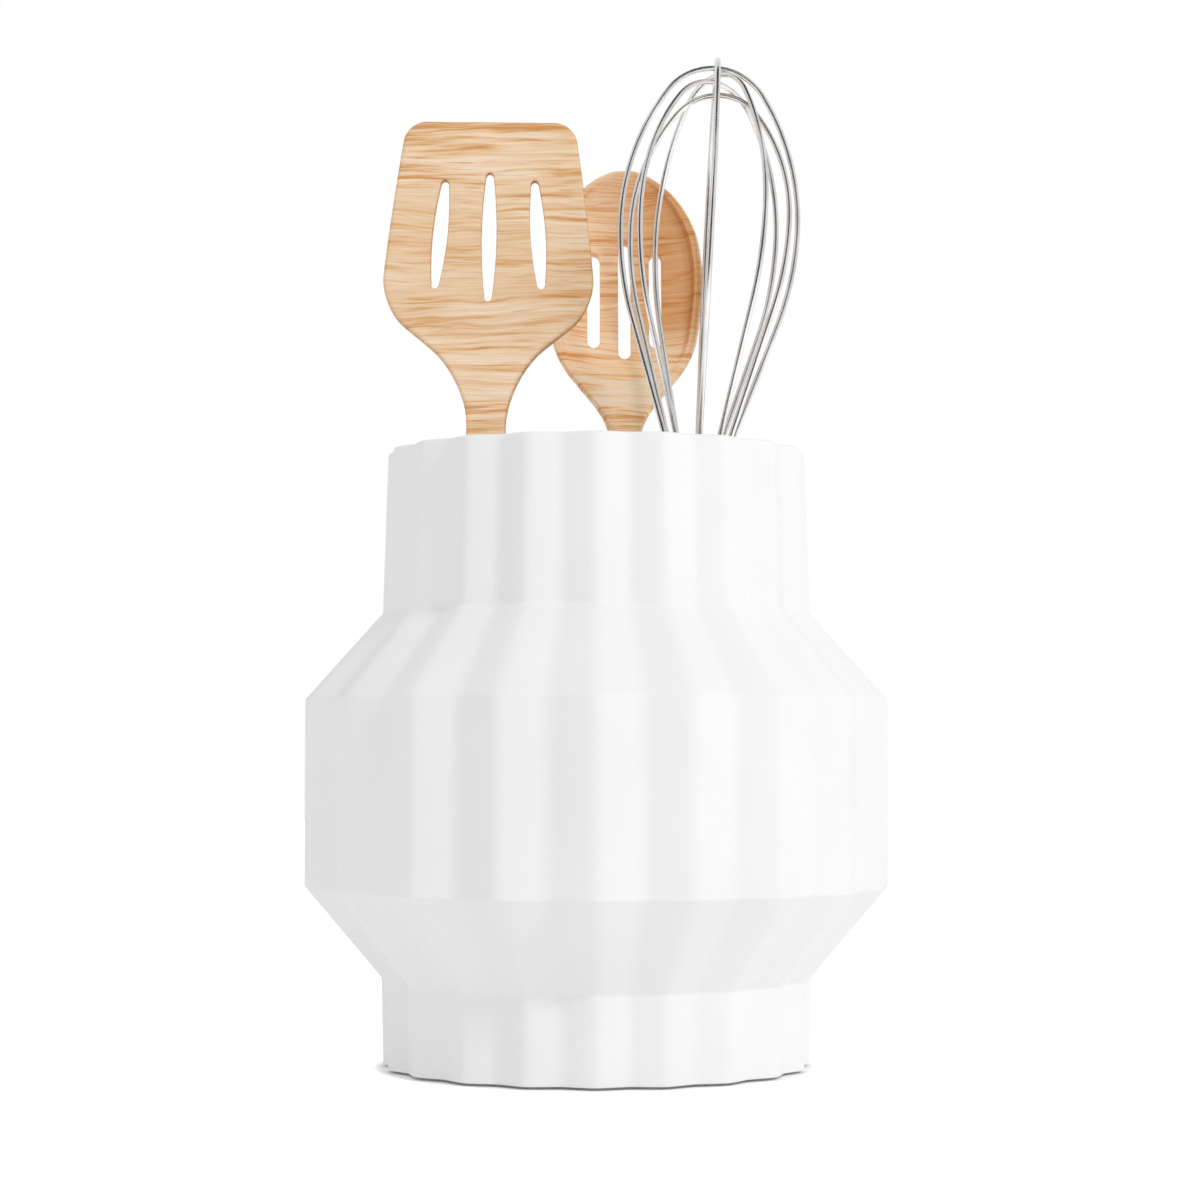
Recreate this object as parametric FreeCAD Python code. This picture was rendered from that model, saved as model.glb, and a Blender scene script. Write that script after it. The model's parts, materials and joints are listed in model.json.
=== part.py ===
import FreeCAD, Part
import math
import os
from FreeCAD import Placement, Rotation, Vector

# A fluted ceramic crock that holds a slotted spatula, a slotted spoon and a balloon whisk.
# Millimetres. The crock stands on z = 0 about the Z axis, and its front looks along -Y.

# Crock: heights of its five bands, then radii at the crests of the flutes
BASE_BAND = 27.0
LOWER_SHOULDER = 28.1
BELLY_BAND = 57.3
UPPER_SHOULDER = 26.7
NECK_BAND = 49.9
BASE_RADIUS = 65.5
WAIST_RADIUS = 66.1
BELLY_RADIUS = 90.0
NECK_RADIUS = 66.1
RIM_RADIUS = 64.6
FLUTES = 20
FLUTE_DEPTH_SHARE = 0.037
POINTS_PER_FLUTE = 6
CROCK_WALL = 4.0
CROCK_FLOOR = 6.0
LIP_ROUND = 1.4
LIP_ANGLES = (0, 45, 90)
FOOT_RING = 8.0
FOOT_RECESS = 2.0

# Spatula: one flat piece of wood with a blade that narrows to its tip
SPATULA_LENGTH = 297.4
SPATULA_HANDLE_WIDTH = 12.6
SPATULA_HANDLE_DEPTH = 8.0
BLADE_LENGTH = 86.2
BLADE_HEEL_RISE = 23.8
BLADE_HEEL_WIDTH = 70.2
BLADE_TIP_WIDTH = 54.9
BLADE_DEPTH = 4.5
BLADE_TIP_DEPTH = 3.2
BLADE_NECK_ROUND = 37.0
BLADE_HEEL_ROUND = 15.0
BLADE_TIP_ROUND = 7.5
SPATULA_FOOT_ROUND = 4.0
BLADE_SLOT_WIDTH = 5.0
BLADE_SLOT_END_ROUND = 1.5
BLADE_MIDDLE_SLOT = 43.2
BLADE_SIDE_SLOT = 36.6
BLADE_SLOT_SPACING = 16.0
BLADE_SLOT_DROP = 39.0
# The side slots lean in by this share of the slope of the blade's sides
BLADE_SLOT_SPLAY_SHARE = 0.6

# Spoon: one piece of wood with a hollowed egg-shaped head
SPOON_LENGTH = 293.2
SPOON_HANDLE_WIDTH = 10.5
SPOON_HANDLE_DEPTH = 8.0
SPOON_FOOT_ROUND = 4.0
SPOON_HEAD_LENGTH = 99.0
SPOON_HEAD_WIDTH = 53.0
SPOON_HEAD_DEPTH = 11.5
SPOON_EDGE_DEPTH = 3.2
SPOON_HOLLOW_DEPTH = 7.8
SPOON_RIM = 2.6
SPOON_BACK_SPREAD = 6.7
SPOON_SLOT_WIDTH = 4.2
SPOON_SLOT_SPACING = 10.35
SPOON_MIDDLE_SLOT = 44.0
SPOON_SIDE_SLOT = 35.4
# Half width and height of the head's outline, as shares of half its width and of its length
SPOON_OUTLINE_SHARES = (
    (0.3, 0.121), (0.69, 0.256), (0.883, 0.343), (0.943, 0.444),
    (1.0, 0.606), (0.849, 0.808), (0.506, 0.942),
)
SPOON_WIDEST_SHARE = 0.606
SPOON_HOLLOW_HEEL_SHARE = 0.283
SPOON_SPINE_SHARE = 0.4
SPOON_SLOT_SHARE = 0.54

# Whisk: five wire loops set in the mouth of a steel tube
WHISK_LENGTH = 317.4
WHISK_WIDTH = 60.2
WIRE_DIAMETER = 1.8
BALLOON_LENGTH = 151.0
BALLOON_TOP = 55.0
SIDE_BEND = 104.0
SPLAY_BEND = 40.0
TIP_BEND_SHARE = 0.65
# For each loop: the turn of its plane, its width, the drop of its tip in wires, and its seat
LOOP_TURNS = (90, -5, 52, -36, 18)
LOOP_WIDTH_SHARES = (1.0, 0.99, 0.945, 0.96, 0.916)
LOOP_DROP_SHARES = (0.0, 1.1, 2.45, 3.85, 6.15)
LOOP_SEAT_SHARES = (1.0, 1.0, 1.0, 0.57, 1.0)
TUBE_DIAMETER = 14.0
TUBE_WALL = 0.7
PLUG_FLANGE = 1.5
PLUG_DEPTH = 16.0
PLUG_SKIN = 0.35
WIRE_SEAT = 12.0
CAP_FLANGE = 3.0
CAP_DEPTH = 12.0
HANG_WIRE = 2.4
HANG_RADIUS = 4.2
HANG_HEIGHT = 20.0
HANG_SEAT = 8.0

# Clearances: between pieces that part, between pieces fixed together, and past a cut
REST_GAP = 0.3
SEAT_CLEARANCE = 0.1
LEAN_GAP = 0.6
OVERRUN = 5.0

# Places: feet as shares of the clear radius at the floor, turns about Z from the back
SPATULA_FOOT_SHARES = (-0.63, 0.351)
SPATULA_REST_TURN = -44.4
SPOON_FOOT_SHARES = (0.161, 0.127)
SPOON_REST_TURN = 10.2
WHISK_FOOT_SHARES = (0.3926, 0.237)
WHISK_REST_SHARE = 0.882

FULL_TURN = 360
X_AXIS = Vector(1, 0, 0)
Y_AXIS = Vector(0, 1, 0)
Z_AXIS = Vector(0, 0, 1)

CROCK_HEIGHT = BASE_BAND + LOWER_SHOULDER + BELLY_BAND + UPPER_SHOULDER + NECK_BAND
REST_HEIGHT = CROCK_HEIGHT - LIP_ROUND


def fluted_wire(radius, height):
    """One level of the crock: a circle whose radius waves by a cosine, with a crest at the front."""
    count = FLUTES * POINTS_PER_FLUTE
    points = []
    for i in range(count):
        turn = 2 * math.pi * i / count
        wave = 1 - FLUTE_DEPTH_SHARE * (1 - math.cos(FLUTES * turn)) / 2
        points.append(Vector(radius * wave * math.sin(turn), -radius * wave * math.cos(turn), height))
    curve = Part.BSplineCurve()
    curve.interpolate(Points=points, PeriodicFlag=True, Parameters=list(range(count + 1)))
    return Part.Wire(curve.toShape())


def fluted_solid(profile):
    """Straight bands between the levels of a profile of (radius, height) points."""
    return Part.makeLoft([fluted_wire(radius, height) for radius, height in profile], True, True)


def lip(radius, inward):
    """The rounded edge of the rim, as (radius, height) points that turn in or out."""
    points = []
    for angle in LIP_ANGLES:
        side = LIP_ROUND * (1 - math.cos(math.radians(angle)))
        rise = LIP_ROUND * (1 - math.sin(math.radians(angle)))
        points.append((radius - inward * side, CROCK_HEIGHT - rise))
    return points


def outer_profile():
    levels = [(BASE_RADIUS, 0)]
    bands = (
        (WAIST_RADIUS, BASE_BAND), (BELLY_RADIUS, LOWER_SHOULDER), (BELLY_RADIUS, BELLY_BAND),
        (NECK_RADIUS, UPPER_SHOULDER), (RIM_RADIUS, NECK_BAND),
    )
    for radius, band in bands:
        levels.append((radius, levels[-1][1] + band))
    return levels


def inset(profile, wall):
    """The same profile moved inwards by the wall, square to each band."""
    normals = []
    for (r0, z0), (r1, z1) in zip(profile, profile[1:]):
        length = math.hypot(r1 - r0, z1 - z0)
        normals.append(((z0 - z1) / length, (r1 - r0) / length))
    result = []
    for i, (radius, height) in enumerate(profile):
        first = normals[max(i - 1, 0)]
        second = normals[min(i, len(normals) - 1)]
        spread = 1 + first[0] * second[0] + first[1] * second[1]
        result.append((radius + wall * (first[0] + second[0]) / spread,
                       height + wall * (first[1] + second[1]) / spread))
    return result


def at_height(low, high, height):
    """The radius at a height on the straight band between two profile points."""
    return low[0] + (high[0] - low[0]) * (height - low[1]) / (high[1] - low[1])


INNER = inset(outer_profile(), CROCK_WALL)
FLOOR_RADIUS = at_height(INNER[0], INNER[1], CROCK_FLOOR)
MOUTH_RADIUS = at_height(INNER[-2], INNER[-1], REST_HEIGHT)
FLOOR_CLEAR = FLOOR_RADIUS * (1 - FLUTE_DEPTH_SHARE)
MOUTH_CLEAR = MOUTH_RADIUS * (1 - FLUTE_DEPTH_SHARE)


def crock_body():
    outside = fluted_solid(outer_profile()[:-1] + lip(RIM_RADIUS, 1))
    inside_lip = lip(MOUTH_RADIUS, -1)
    mouth = (inside_lip[-1][0], CROCK_HEIGHT + OVERRUN)
    inside = fluted_solid([(FLOOR_RADIUS, CROCK_FLOOR)] + INNER[1:-1] + inside_lip + [mouth])
    recess_radius = BASE_RADIUS * (1 - FLUTE_DEPTH_SHARE) - FOOT_RING
    recess = Part.makeCylinder(recess_radius, FOOT_RECESS)
    return outside.cut(inside).cut(recess)


def lean(foot, back, side):
    """Stands a piece modelled along Z on a foot, leaning back and to the side by angles in radians."""
    turn_back = Rotation(X_AXIS, -math.degrees(back))
    turn_side = Rotation(Y_AXIS, math.degrees(side))
    return Placement(foot, turn_back.multiply(turn_side))


def on_floor(foot_shares):
    """A place a rest gap above the crock's floor."""
    across, along = foot_shares
    return Vector(across * FLOOR_CLEAR, along * FLOOR_CLEAR, CROCK_FLOOR + REST_GAP)


def lean_on_rim(foot_shares, rest_turn, width, depth):
    """Leans a flat handle from the floor to the rim, its back corner a rest gap from the wall."""
    turn = math.radians(rest_turn)
    foot = on_floor(foot_shares)
    back = 0
    side = 0
    for _ in range(2):
        half_width = width / 2
        half_depth = depth / 2 / math.cos(back)
        corner = half_width * abs(math.sin(turn)) + half_depth * math.cos(turn)
        clear = MOUTH_CLEAR - REST_GAP
        reach = math.sqrt(corner ** 2 + clear ** 2 - half_width ** 2 - half_depth ** 2) - corner
        rest = Vector(reach * math.sin(turn), reach * math.cos(turn), REST_HEIGHT)
        drop = depth / 2 * math.sin(back) + width / 2 * abs(math.sin(side))
        foot.z = CROCK_FLOOR + REST_GAP + drop
        way = rest - foot
        back = math.atan2(way.y, way.z)
        side = math.atan2(way.x, math.hypot(way.y, way.z))
    return lean(foot, back, side)


def rounded_wire(points, rounds):
    """A closed outline whose corners are rounded by tangent arcs. A round of zero keeps the corner."""
    edges = []
    starts = []
    ends = []
    for i, corner in enumerate(points):
        to_last = (points[i - 1] - corner).normalize()
        to_next = (points[(i + 1) % len(points)] - corner).normalize()
        half_angle = to_last.getAngle(to_next) / 2
        cut = rounds[i] / math.tan(half_angle)
        starts.append(corner + to_last * cut)
        ends.append(corner + to_next * cut)
        if rounds[i]:
            middle = (to_last + to_next).normalize()
            nearest = corner + middle * (rounds[i] / math.sin(half_angle) - rounds[i])
            edges.append(Part.Arc(starts[-1], nearest, ends[-1]).toShape())
    for i, end in enumerate(ends):
        edges.append(Part.LineSegment(end, starts[(i + 1) % len(starts)]).toShape())
    return Part.Wire(Part.__sortEdges__(edges))


def through_depth(wire, depth):
    """A prism of an outline in the XZ plane, centred on it and deep along Y."""
    prism = Part.Face(wire).extrude(Y_AXIS * depth)
    prism.translate(Y_AXIS * (-depth / 2))
    return prism


def through_width(wire, width):
    """A prism of a side view in the YZ plane, centred on it and wide along X."""
    prism = Part.Face(wire).extrude(X_AXIS * width)
    prism.translate(X_AXIS * (-width / 2))
    return prism


def mirrored(points):
    """An outline's right half, then the same points on its left, back to the start."""
    return points + [Vector(-p.x, p.y, p.z) for p in reversed(points)]


def blade_slot(length, offset, splay):
    """A lens-shaped slot with small round ends, right through the blade."""
    half = length / 2 - BLADE_SLOT_END_ROUND
    end = BLADE_SLOT_END_ROUND
    bulge = BLADE_SLOT_WIDTH / 2
    right = Part.Arc(Vector(end, 0, -half), Vector(bulge, 0, 0), Vector(end, 0, half))
    top = Part.Arc(Vector(end, 0, half), Vector(0, 0, half + end), Vector(-end, 0, half))
    left = Part.Arc(Vector(-end, 0, half), Vector(-bulge, 0, 0), Vector(-end, 0, -half))
    bottom = Part.Arc(Vector(-end, 0, -half), Vector(0, 0, -half - end), Vector(end, 0, -half))
    wire = Part.Wire([edge.toShape() for edge in (right, top, left, bottom)])
    slot = through_depth(wire, SPATULA_HANDLE_DEPTH + OVERRUN)
    place = Vector(offset, 0, SPATULA_LENGTH - BLADE_SLOT_DROP)
    slot.Placement = Placement(place, Rotation(Y_AXIS, splay)).multiply(slot.Placement)
    return slot


def wooden_spatula():
    neck = SPATULA_LENGTH - BLADE_LENGTH
    half_width = SPATULA_HANDLE_WIDTH / 2
    front = rounded_wire(
        mirrored([
            Vector(half_width, 0, 0),
            Vector(half_width, 0, neck),
            Vector(BLADE_HEEL_WIDTH / 2, 0, neck + BLADE_HEEL_RISE),
            Vector(BLADE_TIP_WIDTH / 2, 0, SPATULA_LENGTH),
        ]),
        [SPATULA_FOOT_ROUND, BLADE_NECK_ROUND, BLADE_HEEL_ROUND, BLADE_TIP_ROUND,
         BLADE_TIP_ROUND, BLADE_HEEL_ROUND, BLADE_NECK_ROUND, SPATULA_FOOT_ROUND])
    half_depth = SPATULA_HANDLE_DEPTH / 2
    right = [
        Vector(0, half_depth, 0),
        Vector(0, half_depth, neck),
        Vector(0, BLADE_DEPTH / 2, neck + BLADE_HEEL_RISE),
        Vector(0, BLADE_TIP_DEPTH / 2, SPATULA_LENGTH),
    ]
    left = [Vector(0, -p.y, p.z) for p in reversed(right)]
    side = Part.makePolygon(right + left + right[:1])
    spatula = through_depth(front, SPATULA_HANDLE_DEPTH + OVERRUN)
    spatula = spatula.common(through_width(side, BLADE_HEEL_WIDTH + OVERRUN))
    spatula = spatula.cut(blade_slot(BLADE_MIDDLE_SLOT, 0, 0))
    taper = math.atan2((BLADE_HEEL_WIDTH - BLADE_TIP_WIDTH) / 2, BLADE_LENGTH - BLADE_HEEL_RISE)
    splay = BLADE_SLOT_SPLAY_SHARE * math.degrees(taper)
    for way in (-1, 1):
        spatula = spatula.cut(blade_slot(BLADE_SIDE_SLOT, way * BLADE_SLOT_SPACING, -way * splay))
    return spatula


def smooth_edge(points):
    curve = Part.BSplineCurve()
    curve.interpolate(points)
    return curve.toShape()


def spoon_front(neck):
    """The spoon seen from the front: a straight handle that swells into the egg-shaped head."""
    half_width = SPOON_HANDLE_WIDTH / 2
    head = [Vector(half_width, 0, neck - SPOON_HANDLE_WIDTH), Vector(half_width, 0, neck)]
    for width_share, length_share in SPOON_OUTLINE_SHARES:
        head.append(Vector(width_share * SPOON_HEAD_WIDTH / 2, 0, neck + length_share * SPOON_HEAD_LENGTH))
    left = [Vector(-p.x, 0, p.z) for p in reversed(head)]
    outline = smooth_edge(head + [Vector(0, 0, SPOON_LENGTH)] + left)
    end = SPOON_FOOT_ROUND
    bottom = [
        Part.LineSegment(left[-1], Vector(-half_width, 0, end)),
        Part.Arc(Vector(-half_width, 0, end), Vector(0, 0, 0), Vector(half_width, 0, end)),
        Part.LineSegment(Vector(half_width, 0, end), head[0]),
    ]
    return Part.Wire([outline] + [edge.toShape() for edge in bottom])


def spoon_prism(wire, depth):
    """A prism of the spoon's outline, from its flat front to a depth behind it."""
    prism = Part.Face(wire).extrude(Y_AXIS * depth)
    prism.translate(Y_AXIS * (-SPOON_HANDLE_DEPTH / 2))
    return prism


def spoon_bowl(neck, grow, deep):
    """A bowl about the hollow: a bent profile, deepest at the widest place, spun about a line in front."""
    front = -SPOON_HANDLE_DEPTH / 2
    half_width = SPOON_HEAD_WIDTH / 2 - SPOON_RIM + grow
    spin_radius = (half_width ** 2 - deep ** 2) / (2 * deep)
    widest = neck + SPOON_WIDEST_SHARE * SPOON_HEAD_LENGTH
    heel = neck + SPOON_HOLLOW_HEEL_SHARE * SPOON_HEAD_LENGTH - grow
    tip = SPOON_LENGTH - SPOON_RIM + grow
    edges = []
    for first, last in ((heel, widest), (widest, tip)):
        rise = last - first
        bend = (rise ** 2 + deep ** 2) / (2 * deep)
        half_way = math.sqrt(bend ** 2 - (rise / 2) ** 2) - bend + deep
        start = Vector(0, front + (0 if first == heel else deep), first)
        end = Vector(0, front + (0 if last == tip else deep), last)
        edges.append(Part.Arc(start, Vector(0, front + half_way, (first + last) / 2), end).toShape())
    ahead = front - OVERRUN
    straight = Part.makePolygon([
        Vector(0, front, tip), Vector(0, ahead, tip), Vector(0, ahead, heel), Vector(0, front, heel),
    ])
    profile = Part.Face(Part.Wire(edges + straight.Edges))
    return profile.revolve(Vector(0, front - spin_radius, 0), Z_AXIS, FULL_TURN)


def spoon_slot(length, offset, height):
    """A straight slot with round ends, right through the head."""
    side = SPOON_SLOT_WIDTH / 2
    low = height - length / 2 + side
    high = height + length / 2 - side
    left = Vector(offset - side, 0, low)
    right = Vector(offset + side, 0, low)
    rise = Z_AXIS * (high - low)
    edges = [
        Part.Arc(left, Vector(offset, 0, low - side), right),
        Part.LineSegment(right, right + rise),
        Part.Arc(right + rise, Vector(offset, 0, high + side), left + rise),
        Part.LineSegment(left + rise, left),
    ]
    return through_depth(Part.Wire([edge.toShape() for edge in edges]), 2 * SPOON_HEAD_DEPTH + OVERRUN)


def wooden_spoon():
    """A thin plate for the whole outline, a handle that runs up its back, and a bowl behind the hollow."""
    neck = SPOON_LENGTH - SPOON_HEAD_LENGTH
    outline = spoon_front(neck)
    spine = Part.makeBox(SPOON_HANDLE_WIDTH, SPOON_HEAD_DEPTH, neck + SPOON_SPINE_SHARE * SPOON_HEAD_LENGTH,
                         Vector(-SPOON_HANDLE_WIDTH / 2, -SPOON_HANDLE_DEPTH / 2, 0))
    handle = spoon_prism(outline, SPOON_HANDLE_DEPTH).common(spine)
    back = spoon_bowl(neck, SPOON_BACK_SPREAD, SPOON_HEAD_DEPTH)
    bowl = spoon_prism(outline, SPOON_HEAD_DEPTH).common(back)
    spoon = spoon_prism(outline, SPOON_EDGE_DEPTH).fuse([handle, bowl])
    spoon = spoon.cut(spoon_bowl(neck, 0, SPOON_HOLLOW_DEPTH))
    slot_height = neck + SPOON_SLOT_SHARE * SPOON_HEAD_LENGTH
    spoon = spoon.cut(spoon_slot(SPOON_MIDDLE_SLOT, 0, slot_height))
    for way in (-1, 1):
        spoon = spoon.cut(spoon_slot(SPOON_SIDE_SLOT, way * SPOON_SLOT_SPACING, slot_height))
    return spoon


TUBE_FOOT = HANG_HEIGHT + CAP_FLANGE
TUBE_MOUTH = WHISK_LENGTH - BALLOON_LENGTH - PLUG_FLANGE
TUBE_BORE = TUBE_DIAMETER / 2 - TUBE_WALL
WIRE_RADIUS = WIRE_DIAMETER / 2
WIRE_START = TUBE_MOUTH + PLUG_FLANGE
SEAT_RADIUS = TUBE_BORE - 2 * SEAT_CLEARANCE - PLUG_SKIN - WIRE_RADIUS
WIDEST = WHISK_LENGTH - BALLOON_TOP
LOOPS = list(zip(LOOP_TURNS, LOOP_WIDTH_SHARES, LOOP_DROP_SHARES, LOOP_SEAT_SHARES))


def loop_way(turn):
    """The level direction in which a loop spreads. A positive turn brings its right side forwards."""
    return Vector(math.cos(math.radians(turn)), -math.sin(math.radians(turn)), 0)


def loop_half_width(width_share):
    return width_share * (WHISK_WIDTH / 2 - WIRE_RADIUS)


def on_circle(centre, radius, angle):
    return (centre[0] + radius * math.cos(angle), centre[1] + radius * math.sin(angle))


def loop_path(turn, width_share, drop_share, seat_share):
    """One loop's centre line: up from its seat, out, round the sides and over the tip, then the same down."""
    half_width = loop_half_width(width_share)
    seat = seat_share * SEAT_RADIUS
    tip = WHISK_LENGTH - WIRE_RADIUS - drop_share * WIRE_DIAMETER
    rise = tip - WIDEST
    tip_bend = TIP_BEND_SHARE * half_width
    top_bend = (half_width ** 2 + rise ** 2 - 2 * rise * tip_bend) / (2 * (half_width - tip_bend))
    join = math.atan2(rise - tip_bend, top_bend - half_width)
    bends = SIDE_BEND + SPLAY_BEND
    across = bends - (half_width - seat)
    up = WIDEST - WIRE_START
    slope = math.atan2(up, across) - math.acos(bends / math.hypot(across, up))
    splay_centre = (seat + SPLAY_BEND, WIRE_START)
    side_centre = (half_width - SIDE_BEND, WIDEST)
    top_centre = (half_width - top_bend, WIDEST)
    tip_centre = (0, tip - tip_bend)
    arcs = [
        (splay_centre, SPLAY_BEND, math.pi, math.pi - slope),
        (side_centre, SIDE_BEND, -slope, 0),
        (top_centre, top_bend, 0, join),
    ]
    runs = [[(seat, WIRE_START - WIRE_SEAT)]]
    for centre, radius, first, last in arcs:
        runs.append([on_circle(centre, radius, angle) for angle in (first, (first + last) / 2, last)])
    way = loop_way(turn)
    right = [[way * u + Z_AXIS * v for u, v in run] for run in runs]
    left = [[way * -u + Z_AXIS * v for u, v in reversed(run)] for run in reversed(runs)]
    over = [right[-1][-1], Z_AXIS * tip, left[0][0]]
    stops = right + [over] + left
    edges = []
    for i, run in enumerate(stops):
        if i and (run[0] - stops[i - 1][-1]).Length > Part.Precision.confusion():
            edges.append(Part.LineSegment(stops[i - 1][-1], run[0]).toShape())
        if len(run) > 1:
            edges.append(Part.Arc(*run).toShape())
    return Part.Wire(edges)


def swept_wire(path, diameter):
    """Round wire along a path that starts along Z."""
    start = path.OrderedVertexes[0].Point
    section = Part.Wire(Part.makeCircle(diameter / 2, start, Z_AXIS))
    return path.makePipeShell([section], True, False)


def seated_bores(plug, places, radius, low, depth):
    """Blind or through bores along Z for the wires that a plug or cap holds."""
    for place in places:
        plug = plug.cut(Part.makeCylinder(radius, depth, Vector(place.x, place.y, low)))
    return plug


def whisk_wire_plug():
    spigot = Part.makeCylinder(TUBE_BORE - SEAT_CLEARANCE, PLUG_DEPTH, Z_AXIS * (TUBE_MOUTH - PLUG_DEPTH))
    flange = Part.makeCylinder(TUBE_DIAMETER / 2, PLUG_FLANGE, Z_AXIS * TUBE_MOUTH)
    places = []
    for turn, _, _, seat_share in LOOPS:
        for side in (-1, 1):
            places.append(loop_way(turn) * (side * seat_share * SEAT_RADIUS))
    bore = WIRE_RADIUS + SEAT_CLEARANCE
    return seated_bores(spigot.fuse(flange).removeSplitter(), places, bore, WIRE_START - WIRE_SEAT, WIRE_SEAT)


def whisk_handle():
    length = TUBE_MOUTH - TUBE_FOOT
    tube = Part.makeCylinder(TUBE_DIAMETER / 2, length, Z_AXIS * TUBE_FOOT)
    return tube.cut(Part.makeCylinder(TUBE_BORE, length, Z_AXIS * TUBE_FOOT))


def whisk_end_cap():
    spigot = Part.makeCylinder(TUBE_BORE - SEAT_CLEARANCE, CAP_DEPTH, Z_AXIS * TUBE_FOOT)
    flange = Part.makeCylinder(TUBE_DIAMETER / 2, CAP_FLANGE, Z_AXIS * HANG_HEIGHT)
    places = [X_AXIS * HANG_RADIUS, X_AXIS * -HANG_RADIUS]
    bore = HANG_WIRE / 2 + SEAT_CLEARANCE
    return seated_bores(spigot.fuse(flange).removeSplitter(), places, bore, HANG_HEIGHT, HANG_SEAT)


def whisk_hang_loop():
    low = HANG_RADIUS + HANG_WIRE / 2
    high = HANG_HEIGHT + HANG_SEAT
    left = X_AXIS * -HANG_RADIUS
    right = X_AXIS * HANG_RADIUS
    edges = [
        Part.LineSegment(left + Z_AXIS * high, left + Z_AXIS * low),
        Part.Arc(left + Z_AXIS * low, Z_AXIS * (HANG_WIRE / 2), right + Z_AXIS * low),
        Part.LineSegment(right + Z_AXIS * low, right + Z_AXIS * high),
    ]
    return swept_wire(Part.Wire([edge.toShape() for edge in edges]), HANG_WIRE)


def whisk_reach(height):
    """How far the whisk stands out from its axis at a height along it, measured on its first loop."""
    level = Part.makePlane(2 * WHISK_WIDTH, 2 * WHISK_WIDTH, Vector(-WHISK_WIDTH, -WHISK_WIDTH, height))
    crossings = loop_path(*LOOPS[0]).section(level).Vertexes
    return max([TUBE_DIAMETER / 2] + [math.hypot(place.X, place.Y) + WIRE_RADIUS for place in crossings])


def lean_on_spoon(spoon_place):
    """Leans the whisk back to a lean gap from the spoon's front plane, and aside as the rim lets it."""
    foot = on_floor(WHISK_FOOT_SHARES)
    front = spoon_place.multVec(Y_AXIS * (-SPOON_HANDLE_DEPTH / 2))
    normal = spoon_place.Rotation.multVec(-Y_AXIS)
    spoon_back = math.atan2(normal.z, -normal.y)
    bend = SIDE_BEND + WIRE_RADIUS + LEAN_GAP - (foot - front).dot(normal)
    inward = SIDE_BEND - loop_half_width(max(LOOP_WIDTH_SHARES))
    side = 0
    for _ in range(2):
        widest = WIDEST * math.cos(side)
        back = spoon_back - math.asin(bend / math.hypot(widest, inward)) + math.atan2(inward, widest)
        height = (CROCK_HEIGHT - foot.z) / math.cos(back)
        rest = WHISK_REST_SHARE * (MOUTH_CLEAR - whisk_reach(height))
        rest_side = math.sqrt(rest ** 2 - (foot.y + height * math.sin(back)) ** 2)
        side = math.atan2(rest_side - foot.x, height)
    return lean(foot, back, side)


def write(name, shape, place):
    solid = shape.copy()
    solid.Placement = place.multiply(solid.Placement)
    solid.exportStep("parts/" + name + ".step")
    print(name, "volume", round(solid.Volume), "valid", solid.isValid(), "solids", len(solid.Solids))


os.makedirs("parts", exist_ok=True)
spatula_place = lean_on_rim(
    SPATULA_FOOT_SHARES, SPATULA_REST_TURN, SPATULA_HANDLE_WIDTH, SPATULA_HANDLE_DEPTH)
spoon_place = lean_on_rim(SPOON_FOOT_SHARES, SPOON_REST_TURN, SPOON_HANDLE_WIDTH, SPOON_HANDLE_DEPTH)
whisk_place = lean_on_spoon(spoon_place)

write("crock_body", crock_body(), Placement())
write("wooden_spatula", wooden_spatula(), spatula_place)
write("wooden_spoon", wooden_spoon(), spoon_place)
for number, loop in enumerate(LOOPS, 1):
    write("whisk_wire_" + str(number), swept_wire(loop_path(*loop), WIRE_DIAMETER), whisk_place)
write("whisk_wire_plug", whisk_wire_plug(), whisk_place)
write("whisk_handle", whisk_handle(), whisk_place)
write("whisk_end_cap", whisk_end_cap(), whisk_place)
write("whisk_hang_loop", whisk_hang_loop(), whisk_place)

for name, place in (("spatula", spatula_place), ("spoon", spoon_place), ("whisk", whisk_place)):
    way = place.Rotation.multVec(Z_AXIS)
    print(name, "lifts along", [round(value, 5) for value in way])
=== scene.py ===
import json
from math import acos, asin, atan2, cos, hypot, pi, radians, sin, sqrt
import bpy
from mathutils import Matrix, Vector


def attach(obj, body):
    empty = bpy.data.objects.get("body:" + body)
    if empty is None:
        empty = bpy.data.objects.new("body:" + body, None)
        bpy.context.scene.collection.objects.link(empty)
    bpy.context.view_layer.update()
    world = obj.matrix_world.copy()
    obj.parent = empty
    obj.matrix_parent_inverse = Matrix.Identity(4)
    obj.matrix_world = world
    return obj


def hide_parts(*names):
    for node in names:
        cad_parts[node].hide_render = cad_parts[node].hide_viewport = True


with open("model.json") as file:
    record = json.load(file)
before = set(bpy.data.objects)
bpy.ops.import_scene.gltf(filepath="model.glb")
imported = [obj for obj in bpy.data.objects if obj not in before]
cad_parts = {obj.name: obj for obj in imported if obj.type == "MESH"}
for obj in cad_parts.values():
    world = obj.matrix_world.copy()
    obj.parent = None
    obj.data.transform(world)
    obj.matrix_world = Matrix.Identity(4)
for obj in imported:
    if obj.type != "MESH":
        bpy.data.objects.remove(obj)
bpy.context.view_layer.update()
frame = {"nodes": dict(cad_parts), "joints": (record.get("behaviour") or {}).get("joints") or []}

# The crock: one slip-cast piece of matt white ceramic, hollow, and the same colour inside and out.
# Its wall climbs in five straight bands, base, shoulder, belly, shoulder and neck, to a rounded lip,
# and twenty soft flutes run up all of them. It stands on a foot ring, set in a little, round a shallow recess.
FLUTES = 20
FLUTE_POINTS = 24
FLUTE_DEPTH_SHARE = 0.04
FLUTE_ROUND_SHARE = 0.18
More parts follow.
